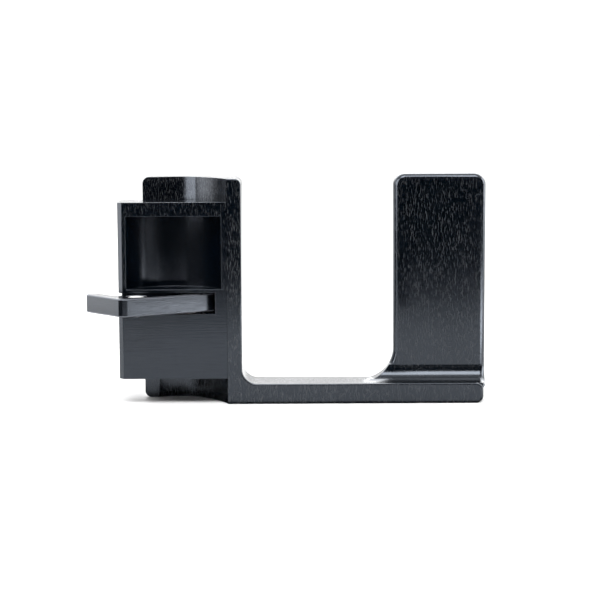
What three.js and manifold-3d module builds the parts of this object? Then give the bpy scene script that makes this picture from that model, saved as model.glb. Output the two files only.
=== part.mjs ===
// Mounting block: a machined aluminium cradle with a bolted-on clamp block and a swinging thumb lever.
// Millimetres, +Z up. The front of the part faces -Y. The origin is the middle of the base's underside.
import * as THREE from "three";
import { mergeVertices } from "three/addons/utils/BufferGeometryUtils.js";
import Module from "manifold-3d";

const wasm = await Module();
wasm.setup();

// ---------------------------------------------------------------- driving dimensions
const frontY = -5.5; // front face of the base, the column and the clamp block
const cradle = { left: -32.05, right: 32.15, base: 5.1, column: 3.6, height: 56.5 };
const cradleBack = { atColumn: 6.4, atArm: 5.1 }; // the base narrows a little towards the arm
const cornerR = { columnTop: 1.6, baseEnd: 2.1 }; // outer corners of the cradle's profile
const endR = 1.1; // upright front edge at the base's free end
const rimR = 0.45; // rounds the front rim of the cradle
const outlineBack = 20; // behind everything, for outlines and bores that a plan or a face ends
const columnFilletR = 3.75;
const arm = { left: 9.65, right: 32.9, front: 0.3, top: 57.35, cornerR: 3.0, edgeR: 1.5 };
const armRoot = { z: 0.6, inset: 1.5, heelZ: 5.8, heelR: 3.0 }; // hidden in the base below heelZ
const armFillet = { side: 8.0, front: 4.0, back: 3.0 };
const spine = { left: -53.7, front: 5.8, cornerR: 1.7, grooveX: -45.1, grooveHalf: 5.0 };
const spineWall = { grooveR: 9.1, backR: 12.9, backY: 6.5 };
const seamGap = 0.05; // where the block's front meets the column
const block = { left: -59.2, right: cradle.left - seamGap, back: 5.7, bottom: 6.5, top: 50.7, chamfer: 1.1 };
const wallGap = 0.3; // where the block's hidden side follows the cradle's hollow wall
const recess = { x: -45.3, y: -9.7, r: 12.6, bottom: 29.0, top: 47.2 };
const slot = { right: -35.05, back: 4.2, bottom: 22.8, top: 28.1 };
const pivot = { x: -41.4, y: -1.9, pinR: 2.5, openDeg: 29.7 };
const lever = { bottom: 23.2, top: 27.8, half: 4.0, heel: 4.67, heelR: 0.5, edge: 0.25 };
const leverNose = { u: -20.6, r: 2.0, tabDeg: 101.1, tabLength: 15.45, tabThick: 3.3, tipR: 0.5 };
const plunger = { u: -14.9, r: 2.45, ballR: 1.5, ballOut: 0.8, slotWide: 0.5, slotDeep: 0.7 };
const plungerRoof = lever.top - 1.2; // underside of the plunger body's closed end
const ballCentreZ = lever.bottom - plunger.ballOut + plunger.ballR;
const spring = { wire: 0.14, coilR: 0.75, turns: 2 };
const ballTrack = { half: 1.9, bottom: 22.0, endY: -1.5, dimpleR: 1.7, dimpleBottom: 21.4 };
const bush = { outer: 3.3 };
const washer = { outer: 3.7, deep: 0.9, thick: 0.5, wave: 0.12 };
const retainer = { boreR: 3.0, boreDeep: 4.0, long: 3.6, recess: 0.3, edge: 0.4, key: 1.5, keyDeep: 2.0 };
const blockScrews = [
  { x: -51.7, z: 38.0, tipY: 3.1 },
  { x: -38.7, z: 38.0, tipY: 3.1 },
  { x: -51.7, z: 13.6, tipY: 1.9 },
  { x: -38.7, z: 13.6, tipY: 1.9 },
];
const screw = { r: 1.5, headR: 2.75, headLong: 1.9, key: 1.15, keyDeep: 1.1, headY: 6.9, tipGap: 0.3 };
const dowels = [
  { x: -45.2, z: 48.9 },
  { x: -45.2, z: 9.4 },
];
const dowel = { r: 1.0, from: 2.4, to: 8.6 };
const boreGap = 0.1; // around every screw, pin and insert
const runGap = 0.05; // between the pivot pin and its bush
const round = 40; // sides of a small round piece

// ---------------------------------------------------------------- solids and booleans
function solid(geometry) {
  const bare = geometry.clone();
  bare.deleteAttribute("normal");
  bare.deleteAttribute("uv");
  const merged = mergeVertices(bare, 1e-4);
  const index = merged.index.array;
  const kept = [];
  for (let i = 0; i < index.length; i += 3) {
    const [a, b, c] = [index[i], index[i + 1], index[i + 2]];
    if (a !== b && b !== c && c !== a) kept.push(a, b, c);
  }
  return new wasm.Manifold(
    new wasm.Mesh({
      numProp: 3,
      vertProperties: new Float32Array(merged.attributes.position.array),
      triVerts: new Uint32Array(kept),
    }),
  );
}

function geometryOf(body) {
  const mesh = body.getMesh();
  const geometry = new THREE.BufferGeometry();
  geometry.setAttribute("position", new THREE.BufferAttribute(mesh.vertProperties, 3));
  geometry.setIndex(new THREE.BufferAttribute(mesh.triVerts, 1));
  const flat = geometry.toNonIndexed();
  flat.computeVertexNormals();
  return flat;
}

function box(x0, x1, y0, y1, z0, z1) {
  const geometry = new THREE.BoxGeometry(x1 - x0, y1 - y0, z1 - z0);
  geometry.translate((x0 + x1) / 2, (y0 + y1) / 2, (z0 + z1) / 2);
  return solid(geometry);
}

// The same outline as straight steps, with no point repeated where a line meets an arc.
function stepped(shape, curveSegments) {
  const points = shape.extractPoints(curveSegments).shape;
  const kept = points.filter((p, i) => p.distanceTo(points[(i + 1) % points.length]) > 1e-3);
  return new THREE.Shape(kept);
}

// A plan outline (XY) raised from z0 to z1.
function raise(shape, z0, z1, curveSegments = 12) {
  const geometry = new THREE.ExtrudeGeometry(stepped(shape, curveSegments), {
    depth: z1 - z0,
    bevelEnabled: false,
  });
  geometry.translate(0, 0, z0);
  return solid(geometry);
}

// A front outline (XZ) run from y0 back to y1; edge rounds its front and back rims inwards.
function runBack(shape, y0, y1, edge = 0, curveSegments = 12) {
  const geometry = new THREE.ExtrudeGeometry(stepped(shape, curveSegments), {
    depth: y1 - y0 - 2 * edge,
    bevelEnabled: edge > 0,
    bevelThickness: edge,
    bevelSize: edge,
    bevelOffset: -edge,
    bevelSegments: 5,
  });
  geometry.rotateX(Math.PI / 2);
  geometry.translate(0, y1 - edge, 0);
  return solid(geometry);
}

// A side outline (depth, height) run along X; edge rounds the rims of its ends inwards.
function runSideways(shape, x0, x1, edge) {
  const geometry = new THREE.ExtrudeGeometry(stepped(shape, 12), {
    depth: x1 - x0 - 2 * edge,
    bevelEnabled: true,
    bevelThickness: edge,
    bevelSize: edge,
    bevelOffset: -edge,
    bevelSegments: 5,
  });
  geometry.rotateX(Math.PI / 2);
  geometry.rotateZ(Math.PI / 2);
  geometry.translate(x0 + edge, 0, 0);
  return solid(geometry);
}

function upright(r, z0, z1, x = 0, y = 0, sides = round) {
  const geometry = new THREE.CylinderGeometry(r, r, z1 - z0, sides);
  geometry.rotateX(Math.PI / 2);
  geometry.translate(x, y, (z0 + z1) / 2);
  return solid(geometry);
}

// A round bar along Y.
function acrossBar(r, y0, y1, x, z, sides = round) {
  const geometry = new THREE.CylinderGeometry(r, r, y1 - y0, sides);
  geometry.translate(x, (y0 + y1) / 2, z);
  return solid(geometry);
}

// A closed (radius, height) profile turned about Z.
function turn(points, sides = round) {
  const profile = points.map(([r, z]) => new THREE.Vector2(r, z));
  const geometry = new THREE.LatheGeometry(profile, sides);
  geometry.rotateX(Math.PI / 2);
  return solid(geometry);
}

// ---------------------------------------------------------------- outlines
// The spine, the column and the base as seen from the front.
function frameOutline() {
  const { right, base, column, height } = cradle;
  const { left, cornerR: r } = spine;
  const { columnTop, baseEnd } = cornerR;
  const inner = cradle.left + column;
  const s = new THREE.Shape();
  s.moveTo(left + r, 0);
  s.lineTo(right - baseEnd, 0);
  s.absarc(right - baseEnd, baseEnd, baseEnd, -Math.PI / 2, 0, false);
  s.absarc(right - baseEnd, base - baseEnd, baseEnd, 0, Math.PI / 2, false);
  s.lineTo(inner + columnFilletR, base);
  s.absarc(inner + columnFilletR, base + columnFilletR, columnFilletR, -Math.PI / 2, -Math.PI, true);
  s.lineTo(inner, height - columnTop);
  s.absarc(inner - columnTop, height - columnTop, columnTop, 0, Math.PI / 2, false);
  s.lineTo(left + r, height);
  s.absarc(left + r, height - r, r, Math.PI / 2, Math.PI, false);
  s.absarc(left + r, r, r, Math.PI, Math.PI * 1.5, false);
  return s;
}

// The right arm from the front, with its large fillet down to the base.
function armOutline() {
  const { left, right, top, cornerR: r } = arm;
  const { z: rootZ, inset, heelZ, heelR } = armRoot;
  const floor = cradle.base;
  const s = new THREE.Shape();
  s.moveTo(left - armFillet.side, rootZ);
  s.lineTo(right - inset, rootZ);
  s.absarc(right - heelR, heelZ, heelR, -Math.acos(1 - inset / heelR), 0, false);
  s.lineTo(right, top - r);
  s.absarc(right - r, top - r, r, 0, Math.PI / 2, false);
  s.lineTo(left + r, top);
  s.absarc(left + r, top - r, r, Math.PI / 2, Math.PI, false);
  s.lineTo(left, floor + armFillet.side);
  s.absarc(left - armFillet.side, floor + armFillet.side, armFillet.side, 0, -Math.PI / 2, true);
  return s;
}

// The fillet at the arm's foot, seen from the right: depth along x, height along y.
function footOutline() {
  const r = armFillet.front;
  const floor = cradle.base;
  const s = new THREE.Shape();
  s.moveTo(arm.front + armFillet.back, armRoot.z);
  s.lineTo(arm.front + armFillet.back, floor + r);
  s.lineTo(arm.front, floor + r);
  s.absarc(arm.front - r, floor + r, r, 0, -Math.PI / 2, true);
  s.lineTo(frontY + 0.6, floor);
  s.lineTo(frontY + 0.6, armRoot.z);
  return s;
}

// The hollow wall between the spine's groove and the column, from back to front.
function hollowWall(offset) {
  const start = new THREE.Vector2(spine.grooveX + spine.grooveHalf - offset, spine.front - offset / 3);
  const end = new THREE.Vector2(cradle.left - offset, frontY + 0.8);
  const along = end.clone().sub(start).normalize();
  const bulge = new THREE.Vector2(-along.y, along.x).multiplyScalar(1.6);
  const middle = start.clone().add(end).multiplyScalar(0.5).add(bulge);
  return new THREE.QuadraticBezierCurve(start, middle, end);
}

// The plan of the whole frame but the arm. The spine has a flat front with a shallow round groove, a
// hollow wall to the column and a rounded back, and the base narrows at the back towards its free end.
function framePlan() {
  const { left, front, grooveX, grooveHalf } = spine;
  const { grooveR, backR, backY } = spineWall;
  const { right } = cradle;
  const axisY = front + Math.sqrt(grooveR ** 2 - grooveHalf ** 2) * -1;
  const grooveAngle = Math.acos(grooveHalf / grooveR);
  const backFrom = Math.asin((backY - axisY) / backR);
  const backTo = Math.PI - Math.acos((grooveX - left) / backR);
  const s = new THREE.Shape();
  s.moveTo(left, front);
  s.lineTo(grooveX - grooveHalf, front);
  s.absarc(grooveX, axisY, grooveR, Math.PI - grooveAngle, grooveAngle, true);
  for (const p of hollowWall(0).getPoints(12)) s.lineTo(p.x, p.y);
  s.lineTo(cradle.left, frontY);
  s.lineTo(right - endR, frontY);
  s.absarc(right - endR, frontY + endR, endR, -Math.PI / 2, 0, false);
  s.lineTo(right, cradleBack.atArm);
  s.lineTo(arm.left, cradleBack.atArm);
  s.lineTo(cradle.left + cradle.column, cradleBack.atColumn);
  s.lineTo(cradle.left, cradleBack.atColumn);
  s.lineTo(grooveX + backR * Math.cos(backFrom), backY);
  s.absarc(grooveX, axisY, backR, backFrom, backTo, false);
  return s;
}

// The clamp block's plan: its right side follows the hollow wall behind the column's face.
function blockPlan() {
  const { left, right, back, chamfer } = block;
  const s = new THREE.Shape();
  s.moveTo(left + chamfer, frontY);
  s.lineTo(right, frontY);
  const wall = hollowWall(wallGap).getPoints(12).reverse();
  for (const p of wall) if (p.y < back - 0.01) s.lineTo(p.x, p.y);
  s.lineTo(wall[wall.length - 1].x, back);
  s.lineTo(left, back);
  s.lineTo(left, frontY + chamfer);
  return s;
}

// The lever's plan in its closed position, from the pivot: u to the right, v to the back.
function leverPlan() {
  const { half, heel, heelR } = lever;
  const { u, r, tabDeg, tabLength, tabThick, tipR } = leverNose;
  const tab = THREE.MathUtils.degToRad(tabDeg);
  const out = new THREE.Vector2(Math.cos(tab), Math.sin(tab));
  const inward = new THREE.Vector2(out.y, -out.x);
  const nose = new THREE.Vector2(u, -half);
  const tip = nose.clone().addScaledVector(out, tabLength);
  const innerTip = tip.clone().addScaledVector(inward, tabThick);
  const innerNose = nose.clone().addScaledVector(inward, tabThick);
  const knee = innerNose.clone().addScaledVector(out, (half - innerNose.y) / out.y);
  const corners = [
    [nose, r],
    [new THREE.Vector2(heel, -half), 0.4],
    [new THREE.Vector2(heel, half), heelR],
    [knee, 1.2],
    [innerTip, 1.2],
    [tip, tipR],
  ];
  return roundedPolygon(corners, 8);
}

// A polygon whose corners are each rounded to a radius of their own.
function roundedPolygon(corners, steps) {
  const points = [];
  corners.forEach(([corner, r], i) => {
    const before = corners[(i + corners.length - 1) % corners.length][0];
    const after = corners[(i + 1) % corners.length][0];
    const a = before.clone().sub(corner).normalize();
    const b = after.clone().sub(corner).normalize();
    const halfAngle = Math.acos(THREE.MathUtils.clamp(a.dot(b), -1, 1)) / 2;
    const centre = corner.clone().addScaledVector(a.clone().add(b).normalize(), r / Math.sin(halfAngle));
    const from = corner.clone().addScaledVector(a, r / Math.tan(halfAngle)).sub(centre);
    const to = corner.clone().addScaledVector(b, r / Math.tan(halfAngle)).sub(centre);
    const start = from.angle();
    let sweep = to.angle() - start;
    if (sweep > Math.PI) sweep -= 2 * Math.PI;
    if (sweep < -Math.PI) sweep += 2 * Math.PI;
    for (let k = 0; k <= steps; k++) {
      const t = start + (sweep * k) / steps;
      points.push(new THREE.Vector2(centre.x + r * Math.cos(t), centre.y + r * Math.sin(t)));
    }
  });
  return new THREE.Shape(points);
}

// ---------------------------------------------------------------- pieces
function bracketFrame() {
  const outline = runBack(frameOutline(), frontY, outlineBack, rimR);
  let body = outline.intersect(raise(framePlan(), -1, cradle.height + 1, 24));
  body = body.add(runBack(armOutline(), arm.front, cradleBack.atArm, arm.edgeR));
  const foot = runSideways(footOutline(), arm.left - armFillet.side - arm.edgeR, arm.right, arm.edgeR);
  body = body.add(foot.intersect(runBack(armOutline(), frontY - 1, cradleBack.atArm)));
  for (const { x, z, tipY } of blockScrews) {
    body = body.subtract(acrossBar(screw.r + boreGap, tipY - screw.tipGap, outlineBack, x, z));
    body = body.subtract(acrossBar(screw.headR + boreGap, screw.headY, outlineBack, x, z));
  }
  for (const { x, z } of dowels) {
    body = body.subtract(acrossBar(dowel.r + boreGap, spine.front - 1, dowel.to + 0.2, x, z));
  }
  return body;
}

function clampBlock() {
  const { left, bottom, top } = block;
  let body = raise(blockPlan(), bottom, top);
  body = body.subtract(upright(recess.r, recess.bottom, recess.top, recess.x, recess.y, 96));
  body = body.subtract(box(left - 1, slot.right, frontY - 1, slot.back, slot.bottom, slot.top));
  body = body.subtract(upright(pivot.pinR + boreGap, bottom - 1, slot.bottom + 1, pivot.x, pivot.y));
  body = body.subtract(upright(retainer.boreR, bottom - 1, bottom + retainer.boreDeep, pivot.x, pivot.y));
  const track = turn([
    [-plunger.u - ballTrack.half, ballTrack.bottom],
    [-plunger.u + ballTrack.half, ballTrack.bottom],
    [-plunger.u + ballTrack.half, slot.bottom + 0.5],
    [-plunger.u - ballTrack.half, slot.bottom + 0.5],
    [-plunger.u - ballTrack.half, ballTrack.bottom],
  ], 96).translate([pivot.x, pivot.y, 0]);
  body = body.subtract(track.intersect(box(left - 1, pivot.x - 8, frontY - 1, ballTrack.endY, 0, top)));
  const dimpleX = pivot.x + plunger.u;
  const { dimpleR, dimpleBottom } = ballTrack;
  body = body.subtract(upright(dimpleR, dimpleBottom, slot.bottom + 0.3, dimpleX, pivot.y));
  for (const { x, z, tipY } of blockScrews) {
    body = body.subtract(acrossBar(screw.r + boreGap, tipY - screw.tipGap, 7, x, z));
  }
  for (const { x, z } of dowels) {
    body = body.subtract(acrossBar(dowel.r + boreGap, dowel.from - 0.2, 7, x, z));
  }
  return body;
}

function thumbLever() {
  const { bottom, top, edge } = lever;
  const geometry = new THREE.ExtrudeGeometry(leverPlan(), {
    depth: top - bottom - 2 * edge,
    bevelEnabled: true,
    bevelThickness: edge,
    bevelSize: edge,
    bevelOffset: -edge,
    bevelSegments: 1,
  });
  geometry.translate(0, 0, bottom + edge);
  let body = solid(geometry);
  body = body.subtract(upright(bush.outer + boreGap / 2, bottom - 1, top + 1));
  body = body.subtract(upright(washer.outer + boreGap, bottom - 1, bottom + washer.deep));
  body = body.subtract(upright(washer.outer + boreGap, top - washer.deep, top + 1));
  body = body.subtract(upright(plunger.r + boreGap / 2, bottom - 1, top + 1, plunger.u, 0));
  return body;
}

function pivotPin() {
  const { pinR } = pivot;
  const z0 = block.bottom + retainer.boreDeep + 0.3;
  const z1 = slot.top - 0.2;
  return turn([[0, z0], [pinR - 0.3, z0], [pinR, z0 + 0.3], [pinR, z1 - 0.3], [pinR - 0.3, z1], [0, z1]]);
}

function retainingScrew() {
  const { boreR, long, recess: inset, edge, key, keyDeep } = retainer;
  const r = boreR - boreGap;
  const z0 = block.bottom + inset;
  const z1 = z0 + long;
  const body = turn([[0, z0], [r - edge, z0], [r, z0 + edge], [r, z1 - edge], [r - edge, z1], [0, z1]]);
  return body.subtract(upright(key, z0 - 1, z0 + keyDeep, 0, 0, 6));
}

function leverBush() {
  const inner = pivot.pinR + runGap;
  const z0 = lever.bottom + washer.deep + 0.1;
  const z1 = lever.top - washer.deep - 0.1;
  return turn([[inner, z0], [bush.outer, z0], [bush.outer, z1], [inner, z1], [inner, z0]]);
}

// A flat ring, or with a wave a spring washer with three crests.
function ring(z0, wave) {
  const inner = pivot.pinR + boreGap;
  const z1 = z0 + washer.thick;
  const profile = [[inner, z0], [washer.outer, z0], [washer.outer, z1], [inner, z1], [inner, z0]];
  const geometry = new THREE.LatheGeometry(profile.map(([r, z]) => new THREE.Vector2(r, z)), 48);
  geometry.rotateX(Math.PI / 2);
  const p = geometry.attributes.position;
  for (let i = 0; i < p.count; i++) {
    p.setZ(i, p.getZ(i) + wave * Math.cos(3 * Math.atan2(p.getY(i), p.getX(i))));
  }
  return solid(geometry);
}

// A slotted spring plunger: closed slotted top, a spring inside, and a mouth that holds the ball.
function plungerBody() {
  const { r, ballR, ballOut, slotWide, slotDeep } = plunger;
  const { bottom, top } = lever;
  const bore = ballR + boreGap;
  const lip = Math.sqrt(ballR ** 2 - (ballR - ballOut) ** 2) + boreGap;
  const body = turn([
    [lip, bottom], [r - 0.2, bottom], [r, bottom + 0.2], [r, top - 0.35], [r - 0.9, top - 0.08],
    [0, top], [0, plungerRoof], [bore, plungerRoof], [bore, bottom + ballR - ballOut], [lip, bottom],
  ]);
  return body.subtract(box(-r - 1, r + 1, -slotWide / 2, slotWide / 2, top - slotDeep, top + 1));
}

function plungerBall() {
  const geometry = new THREE.SphereGeometry(plunger.ballR - 0.02, 24, 16);
  geometry.rotateX(Math.PI / 2);
  geometry.translate(0, 0, ballCentreZ);
  return solid(geometry);
}

function plungerSpring() {
  const { wire, coilR, turns } = spring;
  const z0 = ballCentreZ + plunger.ballR + wire - 0.1;
  const z1 = plungerRoof - wire - 0.05;
  const helix = new (class extends THREE.Curve {
    getPoint(t, target = new THREE.Vector3()) {
      const a = 2 * Math.PI * turns * t;
      return target.set(coilR * Math.cos(a), coilR * Math.sin(a), z0 + (z1 - z0) * t);
    }
  })();
  const section = new THREE.Shape();
  section.absarc(0, 0, wire, 0, 2 * Math.PI, false);
  const geometry = new THREE.ExtrudeGeometry(section, { steps: 40, curveSegments: 4, extrudePath: helix });
  return solid(geometry);
}

function blockScrew(x, z, tipY) {
  const { r, headR, headLong, key, keyDeep, headY } = screw;
  const shank = acrossBar(r, tipY, headY + 0.5, x, z);
  const head = acrossBar(headR, headY + 0.05, headY + headLong, x, z);
  const socket = acrossBar(key, headY + headLong - keyDeep, headY + headLong + 1, x, z, 6);
  return shank.add(head).subtract(socket);
}

// ---------------------------------------------------------------- materials
const blackAnodised = { color: 0x1b1c1f, roughness: 0.42, metalness: 0.85 };
const brushedBlack = { color: 0x26272a, roughness: 0.38, metalness: 0.85 };
const steel = { color: 0xb9bcc0, roughness: 0.25, metalness: 1.0 };
const blackSteel = { color: 0x232326, roughness: 0.45, metalness: 0.9 };
const bronze = { color: 0xa77a3f, roughness: 0.4, metalness: 1.0 };

function piece(name, body, look) {
  const mesh = new THREE.Mesh(geometryOf(body), new THREE.MeshStandardMaterial(look));
  mesh.name = name;
  return mesh;
}

// ---------------------------------------------------------------- assembly
const part = new THREE.Group();
part.add(piece("bracket_frame", bracketFrame(), blackAnodised));
part.add(piece("clamp_block", clampBlock(), blackAnodised));

const pivotGroup = new THREE.Group();
pivotGroup.position.set(pivot.x, pivot.y, 0);
pivotGroup.add(piece("pivot_pin", pivotPin(), steel));
pivotGroup.add(piece("pivot_retaining_screw", retainingScrew(), blackSteel));
part.add(pivotGroup);

const swing = new THREE.Group();
swing.position.set(pivot.x, pivot.y, 0);
swing.rotation.z = THREE.MathUtils.degToRad(pivot.openDeg);
swing.add(piece("thumb_lever", thumbLever(), brushedBlack));
swing.add(piece("lever_bush", leverBush(), bronze));
swing.add(piece("lower_thrust_washer", ring(lever.bottom + 0.1, 0), bronze));
swing.add(piece("upper_wave_washer", ring(lever.top - washer.thick - 0.2, washer.wave), steel));
const plungerPlace = new THREE.Group();
plungerPlace.position.set(plunger.u, 0, 0);
plungerPlace.add(piece("plunger_body", plungerBody(), steel));
plungerPlace.add(piece("plunger_ball", plungerBall(), steel));
plungerPlace.add(piece("plunger_spring", plungerSpring(), steel));
swing.add(plungerPlace);
part.add(swing);

blockScrews.forEach(({ x, z, tipY }, i) => {
  part.add(piece(`block_screw_${i + 1}`, blockScrew(x, z, tipY), blackSteel));
});
dowels.forEach(({ x, z }, i) => {
  part.add(piece(`block_dowel_${i + 1}`, acrossBar(dowel.r, dowel.from, dowel.to, x, z), steel));
});

export default part;
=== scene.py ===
"""Mounting block: a black anodised aluminium cradle with a bolted clamp block and a brushed thumb lever.
Every CAD node keeps its own mesh. This script softens the edges with modifiers, gives each piece a
procedural finish and sets up a plain white studio. Metres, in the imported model's own frame."""

import math
import bpy
from mathutils import Euler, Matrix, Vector


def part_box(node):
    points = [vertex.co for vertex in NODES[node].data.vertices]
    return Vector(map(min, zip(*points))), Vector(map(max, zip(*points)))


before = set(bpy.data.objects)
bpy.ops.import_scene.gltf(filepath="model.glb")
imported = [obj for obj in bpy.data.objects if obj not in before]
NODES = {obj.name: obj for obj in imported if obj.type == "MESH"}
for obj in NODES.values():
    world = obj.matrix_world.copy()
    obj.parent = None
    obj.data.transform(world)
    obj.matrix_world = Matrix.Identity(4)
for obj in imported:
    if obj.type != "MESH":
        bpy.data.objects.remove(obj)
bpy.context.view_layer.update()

MM = 0.001
LOW_GRAIN_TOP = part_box("thumb_lever")[1].z + 1.2 * MM  # the block is milled sideways below its ledge


# ---------------------------------------------------------------- node helpers
class Tree:
    """A material's node tree, with short calls for the few nodes that these finishes use."""

    def __init__(self, name):
        self.material = bpy.data.materials.new(name)
        self.material.use_nodes = True
        self.nodes = self.material.node_tree.nodes
        self.links = self.material.node_tree.links
        self.shader = self.nodes["Principled BSDF"]
        self.place = self.nodes.new("ShaderNodeTexCoord").outputs["Object"]

    def set(self, **values):
        for key, value in values.items():
            self.shader.inputs[key.replace("_", " ")].default_value = value
        return self

    def link(self, output, socket):
        self.links.new(output, socket)
        return output

    def about(self, centre):
        """The place measured from a point of the model."""
        n = self.nodes.new("ShaderNodeVectorMath")
        n.operation = "SUBTRACT"
        self.link(self.place, n.inputs[0])
        n.inputs[1].default_value = centre
        return n.outputs[0]

    def noise(self, size_mm, detail=3.0, rough=0.55, place=None, distortion=0.0):
        """Noise whose blobs are about size_mm = (x, y, z) millimetres across."""
        m = self.nodes.new("ShaderNodeMapping")
        m.inputs["Scale"].default_value = [1.0 / (s * MM) for s in size_mm]
        self.link(place or self.place, m.inputs["Vector"])
        n = self.nodes.new("ShaderNodeTexNoise")
        n.inputs["Scale"].default_value = 1.0
        n.inputs["Detail"].default_value = detail
        n.inputs["Roughness"].default_value = rough
        n.inputs["Distortion"].default_value = distortion
        self.link(m.outputs[0], n.inputs["Vector"])
        return n.outputs["Fac"]

    def axis(self, letter, of=None):
        n = self.nodes.new("ShaderNodeSeparateXYZ")
        self.link(of or self.place, n.inputs[0])
        return n.outputs[letter]

    def mix(self, share, a, b):
        """a where share is 0, b where it is 1."""
        return self.maths("ADD", a, self.maths("MULTIPLY", share, self.maths("SUBTRACT", b, a)))

    def maths(self, kind, a, b=None, clamp=False):
        n = self.nodes.new("ShaderNodeMath")
        n.operation = kind
        n.use_clamp = clamp
        for i, v in enumerate((a, b)):
            if v is None:
                continue
            if isinstance(v, (int, float)):
                n.inputs[i].default_value = v
            else:
                self.link(v, n.inputs[i])
        return n.outputs[0]

    def spread(self, value, low, high, to_low, to_high):
        """value from low..high moved to to_low..to_high, held at the ends."""
        n = self.nodes.new("ShaderNodeMapRange")
        self.link(value, n.inputs["Value"])
        for key, v in (
            ("From Min", low),
            ("From Max", high),
            ("To Min", to_low),
            ("To Max", to_high),
        ):
            n.inputs[key].default_value = v
        return n.outputs[0]

    def colours(self, value, stops):
        n = self.nodes.new("ShaderNodeValToRGB")
        self.link(value, n.inputs["Fac"])
        ramp = n.color_ramp
        while len(ramp.elements) < len(stops):
            ramp.elements.new(0.5)
        for element, (at, rgb) in zip(ramp.elements, stops):
            element.position = at
            element.color = (*rgb, 1.0)
        return n.outputs["Color"]

    def bump(self, height, depth_mm, strength=1.0, below=None):
        n = self.nodes.new("ShaderNodeBump")
        n.inputs["Strength"].default_value = strength
        n.inputs["Distance"].default_value = depth_mm * MM
        self.link(height, n.inputs["Height"])
        if below is not None:
            self.link(below, n.inputs["Normal"])
        return n.outputs["Normal"]

    def finish(self, colour=None, roughness=None, normal=None):
        for output, key in (
            (colour, "Base Color"),
            (roughness, "Roughness"),
            (normal, "Normal"),
        ):
            if output is not None:
                self.link(output, self.shader.inputs[key])
        return self.material


# ---------------------------------------------------------------- finishes
COAT = (0.0003, 0.0014, 0.0032)
COARSER = 1.6  # how much stronger the specks are on the cradle's left half than on its right half
HALF_SPLIT = 8 * MM  # they change over this distance each side of the middle


def anodised(name, grain_mm, gloss, relief_mm, base=COAT, specks=0.0, low_grain_mm=None, front_y=None):
    """Black anodised aluminium. Milling grain shows through the thin, dark, slightly blue coat, as an
    uneven shine and as fine pale specks. gloss is the mean roughness and relief_mm the grain's depth.
    low_grain_mm is another grain for the lower part. Specks stay at front_y, where that is given."""
    t = Tree(name).set(Metallic=0.0, IOR=1.56, Specular_Tint=(0.79, 0.87, 1.0, 1.0))
    grain = t.noise(grain_mm, detail=4.0, rough=0.7)
    coarse = t.spread(t.axis("X"), -HALF_SPLIT, HALF_SPLIT, COARSER, 1.0)
    bright = t.maths("MULTIPLY", t.spread(grain, 0.52, 0.74, 0.0, specks), coarse)
    if front_y is not None:
        bright = t.mix(t.spread(t.axis("Y"), front_y, front_y + 0.3 * MM, 0.0, 1.0), bright, 0.0)
    if low_grain_mm:
        low = t.spread(t.axis("Z"), LOW_GRAIN_TOP - 1.0 * MM, LOW_GRAIN_TOP, 1.0, 0.0)
        grain = t.mix(low, grain, t.noise(low_grain_mm, detail=4.0, rough=0.6))
        bright = t.mix(low, bright, 0.0)
    etch = t.noise((0.13, 0.13, 0.13), detail=3.0, rough=0.6)
    cloud = t.noise((7.0, 7.0, 12.0), detail=2.0, rough=0.5)
    colour = t.colours(bright, [(0.0, base), (1.0, (1.0, 1.0, 1.0))])
    fine, broad = t.spread(grain, 0.3, 0.7, -0.05, 0.05), t.spread(cloud, 0.35, 0.65, -0.015, 0.02)
    uneven = t.maths("ADD", fine, broad)
    roughness = t.maths("ADD", uneven, gloss)
    normal = t.bump(etch, 0.008, 0.8, below=t.bump(grain, relief_mm, 1.0))
    return t.finish(colour, roughness, normal)


def brushed(name, grain_mm, pale=(0.42, 0.43, 0.45), rough=(0.28, 0.40), depth=0.006):
    """Bare metal with straight brushing."""
    t = Tree(name).set(Metallic=1.0)
    grain = t.noise(grain_mm, detail=5.0, rough=0.62)
    speck = t.noise((0.25, 0.25, 0.25), detail=2.0)
    shade = tuple(0.80 * c for c in pale)
    colour = t.colours(grain, [(0.30, shade), (0.70, pale)])
    roughness = t.maths(
        "ADD",
        t.spread(grain, 0.3, 0.7, rough[1], rough[0]),
        t.spread(speck, 0.4, 0.7, -0.01, 0.03),
    )
    return t.finish(colour, roughness, t.bump(grain, depth, 0.6))


def turned(name, centre, pale, rough, pitch_mm=0.12, depth=0.004):
    """Bare metal with the fine rings of a lathe about an upright axis through centre."""
    t = Tree(name).set(Metallic=1.0)
    n = t.nodes.new("ShaderNodeSeparateXYZ")
    t.link(t.about(centre), n.inputs[0])
    square = t.maths("ADD", t.maths("POWER", n.outputs[0], 2.0), t.maths("POWER", n.outputs[1], 2.0))
    reach = t.maths("ADD", t.maths("SQRT", square), n.outputs[2])
    rings = t.maths("SINE", t.maths("MULTIPLY", reach, 2.0 * math.pi / (pitch_mm * MM)))
    patch = t.noise((0.7, 0.7, 0.7), detail=3.0)
    colour = t.colours(patch, [(0.3, tuple(0.82 * c for c in pale)), (0.7, pale)])
    roughness = t.spread(patch, 0.3, 0.7, rough[0], rough[1])
    return t.finish(colour, roughness, t.bump(rings, depth, 0.35))


def black_oxide(name):
    """Steel with a black oxide finish, a little oily, with pale scuffs."""
    t = Tree(name).set(Metallic=0.6, IOR=1.6)
    patch = t.noise((0.6, 0.6, 0.6), detail=4.0)
    etch = t.noise((0.08, 0.08, 0.08), detail=2.0)
    shades = [(0.35, (0.018, 0.018, 0.020)), (0.66, (0.035, 0.035, 0.037)), (0.8, (0.08, 0.08, 0.08))]
    colour = t.colours(patch, shades)
    roughness = t.spread(patch, 0.3, 0.7, 0.30, 0.45)
    return t.finish(colour, roughness, t.bump(etch, 0.004, 0.5))


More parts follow.
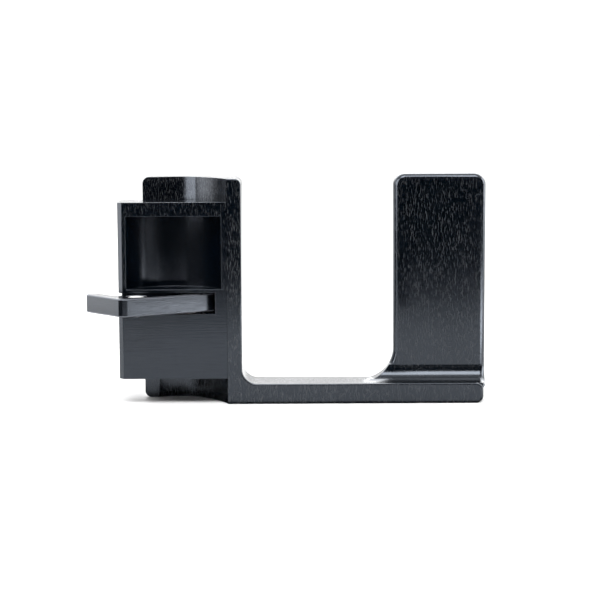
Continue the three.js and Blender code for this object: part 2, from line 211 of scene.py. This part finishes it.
def sintered_bronze(name):
    t = Tree(name).set(Metallic=1.0)
    pores = t.noise((0.12, 0.12, 0.12), detail=3.0)
    patch = t.noise((1.2, 1.2, 1.2), detail=2.0)
    colour = t.colours(
        t.maths("ADD", t.maths("MULTIPLY", pores, 0.6), t.maths("MULTIPLY", patch, 0.4)),
        [(0.34, (0.12, 0.06, 0.025)), (0.5, (0.42, 0.24, 0.10)), (0.7, (0.52, 0.32, 0.14))],
    )
    return t.finish(colour, t.spread(pores, 0.3, 0.7, 0.55, 0.34), t.bump(pores, 0.01, 0.5))


# ---------------------------------------------------------------- CAD nodes
def sharp_edges(mesh, angle):
    """For each edge, whether two faces meet there at more than angle, and its middle."""
    places = [tuple(round(c, 7) for c in v.co) for v in mesh.vertices]
    normals = {}
    for face in mesh.polygons:
        for a, b in face.edge_keys:
            normals.setdefault(frozenset((places[a], places[b])), []).append(face.normal)
    found = []
    for edge in mesh.edges:
        a, b = edge.vertices
        around = normals[frozenset((places[a], places[b]))]
        sharp = any(around[0].angle(n, 0.0) > angle for n in around[1:])
        found.append((sharp, (mesh.vertices[a].co + mesh.vertices[b].co) / 2))
    return found


def soften(name, width_mm, materials, segments=2, edge_slot=0, spared=lambda place: False):
    """Smooth shading, flat faces made whole again, a small broken edge, and the finishes."""
    obj = NODES[name]
    mesh = obj.data
    if "custom_normal" in mesh.attributes:
        mesh.attributes.remove(mesh.attributes["custom_normal"])
    mesh.polygons.foreach_set("use_smooth", [True] * len(mesh.polygons))
    mesh.materials.clear()
    for m in materials:
        mesh.materials.append(m)
    found = sharp_edges(mesh, math.radians(35))
    weights = mesh.attributes.new("bevel_weight_edge", "FLOAT", "EDGE")
    weights.data.foreach_set("value", [float(sharp and not spared(middle)) for sharp, middle in found])
    creases = mesh.attributes.get("sharp_edge") or mesh.attributes.new("sharp_edge", "BOOLEAN", "EDGE")
    creases.data.foreach_set("value", [sharp and spared(middle) for sharp, middle in found])
    join = obj.modifiers.new("join", "WELD")
    join.merge_threshold = 1e-6
    flat = obj.modifiers.new("flat", "DECIMATE")
    flat.decimate_type = "DISSOLVE"
    flat.angle_limit = math.radians(1.0)
    if width_mm:
        edge = obj.modifiers.new("edge", "BEVEL")
        edge.width = width_mm * MM
        edge.segments = segments
        edge.limit_method = "WEIGHT"
        edge.use_clamp_overlap = False
        edge.material = edge_slot
    shade = obj.modifiers.new("shade", "WEIGHTED_NORMAL")
    shade.keep_sharp = True
    shade.weight = 100
    return obj


def centre_of(name):
    low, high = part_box(name)
    return (low + high) / 2


seam_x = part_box("clamp_block")[1].x


def front_seam(place):
    """The front edges where the block meets the column, which fit too closely to show a broken edge."""
    return abs(place.x - seam_x) < 0.3 * MM and place.y < -4.9 * MM


block_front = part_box("clamp_block")[0].y
upright_grain = anodised("anodised_upright_grain", (0.2, 0.2, 1.1), 0.155, 0.014, specks=0.044)
block_grain = anodised(
    "anodised_block_grain",
    (0.2, 0.2, 0.9),
    0.145,
    0.01,
    specks=0.026,
    low_grain_mm=(5.0, 1.0, 0.3),
    front_y=block_front,
)
lever_coat = (0.0015, 0.0022, 0.0036)
lever_grain = anodised("anodised_brushed_lever", (5.0, 5.0, 0.16), 0.16, 0.022, base=lever_coat)
# Bevel faces of the frame and block: a paler base colour that is partly edge wear and partly a painted
# highlight standing in for the light the broken edges catch.
worn_edge_painted_highlight = anodised("anodised_edge_wear_and_painted_highlight", (0.3, 0.3, 0.6), 0.22, 0.02, base=(0.015, 0.017, 0.021))
# Bevel faces of the lever: a pale base colour painted on as the bright highlight lines along its edges.
lever_edge_painted_highlight = anodised("anodised_lever_edge_painted_highlight", (0.3, 0.3, 0.6), 0.3, 0.02, base=(0.10, 0.105, 0.12))

soften("bracket_frame", 0.11, [upright_grain, worn_edge_painted_highlight], edge_slot=1, spared=front_seam)
soften("clamp_block", 0.09, [block_grain, worn_edge_painted_highlight], edge_slot=1, spared=front_seam)
soften("thumb_lever", 0.10, [lever_grain, lever_edge_painted_highlight], edge_slot=1)
plunger_centre = centre_of("plunger_body")
pin_centre = centre_of("pivot_pin")
plunger_end = turned("turned_plunger", plunger_centre, (0.92, 0.92, 0.92), (0.74, 0.84))
soften("plunger_body", 0.04, [plunger_end])
soften("plunger_ball", 0.0, [turned("polished_ball", plunger_centre, (0.78, 0.78, 0.79), (0.08, 0.14))])
soften("plunger_spring", 0.0, [turned("spring_wire", plunger_centre, (0.6, 0.6, 0.62), (0.2, 0.3))])
soften("pivot_pin", 0.05, [turned("turned_pin", pin_centre, (0.36, 0.36, 0.37), (0.3, 0.4))])
soften("upper_wave_washer", 0.04, [turned("wave_washer", pin_centre, (0.62, 0.62, 0.64), (0.2, 0.3))])
bronze = sintered_bronze("sintered_bronze")
soften("lever_bush", 0.05, [bronze])
soften("lower_thrust_washer", 0.04, [bronze])
oxide = black_oxide("black_oxide_steel")
soften("pivot_retaining_screw", 0.05, [oxide])
for i in range(1, 5):
    soften(f"block_screw_{i}", 0.06, [oxide])
dowel = brushed("ground_dowel", (0.10, 3.0, 0.10), pale=(0.66, 0.66, 0.68), rough=(0.16, 0.26))
for i in (1, 2):
    soften(f"block_dowel_{i}", 0.06, [dowel])


# ---------------------------------------------------------------- studio
def sheet(name, corners, material, **seen):
    """A flat stage card through four corners, in metres."""
    mesh = bpy.data.meshes.new(name)
    mesh.from_pydata(corners, [], [(0, 1, 2, 3)])
    mesh.materials.append(material)
    obj = bpy.data.objects.new(name, mesh)
    bpy.context.scene.collection.objects.link(obj)
    for key, value in seen.items():
        setattr(obj, "visible_" + key, value)
    return obj


def plain(name, rgb, roughness, specular=0.5):
    t = Tree(name).set(Roughness=roughness, Base_Color=(*rgb, 1.0))
    t.shader.inputs["Specular IOR Level"].default_value = specular
    return t.material


def glow(name, strength):
    t = Tree(name).set(Base_Color=(0, 0, 0, 1), Roughness=1.0)
    t.shader.inputs["Specular IOR Level"].default_value = 0.0
    t.shader.inputs["Emission Color"].default_value = (1, 1, 1, 1)
    t.shader.inputs["Emission Strength"].default_value = strength
    return t.material


FAR = 3.0  # half the floor's width
floor_corners = [(-FAR, -FAR, 0), (FAR, -FAR, 0), (FAR, FAR, 0), (-FAR, FAR, 0)]
sheet("floor", floor_corners, plain("white_table", (0.93, 0.93, 0.93), 0.6, 0.2))

matt_black = plain("matt_black_card", (0.004, 0.004, 0.004), 1.0, 0.0)
HIDDEN = dict(camera=False)
ONLY_IN_REFLECTIONS = dict(HIDDEN, diffuse=False, shadow=False, transmission=False, volume_scatter=False)
ORIGIN = Vector((0, 0))
LEFT_HALF = Vector((-0.046, 0.0))  # the middle of the clamp block, seen from above


def standing(name, turn_deg, distance, height, material, seen=ONLY_IN_REFLECTIONS, around=ORIGIN):
    """An upright card between two directions, which turn from the front to the left of a place."""
    a, b = (math.radians(t) for t in turn_deg)
    low, high = height
    reach = distance / math.cos((b - a) / 2)
    p, q = (around - reach * Vector((math.sin(t), math.cos(t))) for t in (a, b))
    corners = [(p.x, p.y, low), (q.x, q.y, low), (q.x, q.y, high), (p.x, p.y, high)]
    return sheet(name, corners, material, **seen)


def lean(name, width, rise_deg, distance, material, seen=ONLY_IN_REFLECTIONS):
    """A card above the object, between two angles that rise from the horizon in front of it."""
    angles = [math.radians(e) for e in rise_deg]
    (y0, z0), (y1, z1) = [(-distance * math.cos(e), distance * math.sin(e)) for e in angles]
    half = width / 2
    corners = [(-half, y0, z0), (half, y0, z0), (half, y1, z1), (-half, y1, z1)]
    return sheet(name, corners, material, **seen)


def on_table(name, corners, height, material):
    """A flat card on the table, seen only in reflections."""
    return sheet(name, [(x, y, height) for x, y in corners], material, **ONLY_IN_REFLECTIONS)


# In reflections, the white table is lit only near the object, and past that the room in front is dark.
TABLE = dict(left=-0.26, right=0.26, front_left=-0.205, front_right=-0.165, back=-0.02)
table_left = (TABLE["left"], TABLE["front_left"])
table_right = (TABLE["right"], TABLE["front_right"])
dark_ground_and_painted_shadow = [
    ([(-FAR, -FAR), (FAR, -FAR), table_right, table_left], 1.0),
    ([(-FAR, -FAR), table_left, (TABLE["left"], TABLE["back"]), (-FAR, TABLE["back"])], 1.0),
    ([(FAR, -FAR), (FAR, TABLE["back"]), (TABLE["right"], TABLE["back"]), table_right], 1.0),
    # The last two are painted contact shadow: dark sheets under and beside the block's foot and along
    # the base's front, where the table is shaded, seen only in reflections.
    ([(-0.0503, -0.0085), (0.034, -0.0085), (0.034, 0.0056), (-0.0503, 0.0056)], 0.05),
    ([(-0.078, -0.010), (-0.0545, -0.010), (-0.0545, 0.014), (-0.078, 0.014)], 0.05),
]
for i, (corners, height_mm) in enumerate(dark_ground_and_painted_shadow, 1):
    on_table(f"dark_ground_and_painted_shadow_{i}", corners, height_mm * MM, matt_black)
standing("dark_room", (-74, 36), 1.3, (-0.3, 1.3), matt_black, seen=HIDDEN)
for name, turn_deg, distance, height, strength in (
    ("dim_room_low", (-50, 34), 1.2, (0.12, 0.36), 0.15),
    ("softbox_left", (36, 72), 0.6, (0.008, 0.5), 7.4),
    ("softbox_far_left", (84, 106), 0.255, (0.002, 0.25), 3.5),
    ("softbox_right", (-112, -75), 0.6, (0.0, 0.5), 8.5),
):
    standing(name, turn_deg, distance, height, glow(name, strength))
standing("flag_left", (28, 78), 0.062, (0.008, 0.046), matt_black, around=LEFT_HALF)
standing("flag_right", (-69, -38), 0.062, (0.020, 0.045), matt_black, around=LEFT_HALF)
lean("softbox_above", 0.7, (47, 72), 0.9, glow("softbox_above", 11.0), seen=HIDDEN)
lean("ceiling", 1.8, (108, 164), 1.0, glow("ceiling", 6.0))
wall = [(-FAR, 2, 0), (FAR, 2, 0), (FAR, 2, 0.55), (-FAR, 2, 0.55)]
sheet("back_wall", wall, glow("back_wall", 1.3), **ONLY_IN_REFLECTIONS)
# A painted pool of light: a glowing sheet lying on the table to the right of the object, seen only in
# reflections.
pool = [(0.07, -0.17), (0.21, -0.17), (0.21, -0.05), (0.07, -0.05)]
on_table("painted_light_pool_right", pool, 1.2 * MM, glow("painted_light_pool", 12.0))

world = bpy.data.worlds.new("white_room")
world.use_nodes = True
world.node_tree.nodes["Background"].inputs["Color"].default_value = (1, 1, 1, 1)
world.node_tree.nodes["Background"].inputs["Strength"].default_value = 1.12
bpy.context.scene.world = world
bpy.context.scene.view_settings.view_transform = "Standard"

camera_data = bpy.data.cameras.new("camera")
camera_data.lens = 108.0
camera_data.sensor_width = 36.0
camera_data.clip_start, camera_data.clip_end = 0.01, 20.0
camera = bpy.data.objects.new("camera", camera_data)
camera.location = (-0.01453, -0.45077, 0.07859)
camera.rotation_euler = Euler([math.radians(a) for a in (83.295, 0.263, -0.113)])
bpy.context.scene.collection.objects.link(camera)
bpy.context.scene.camera = camera
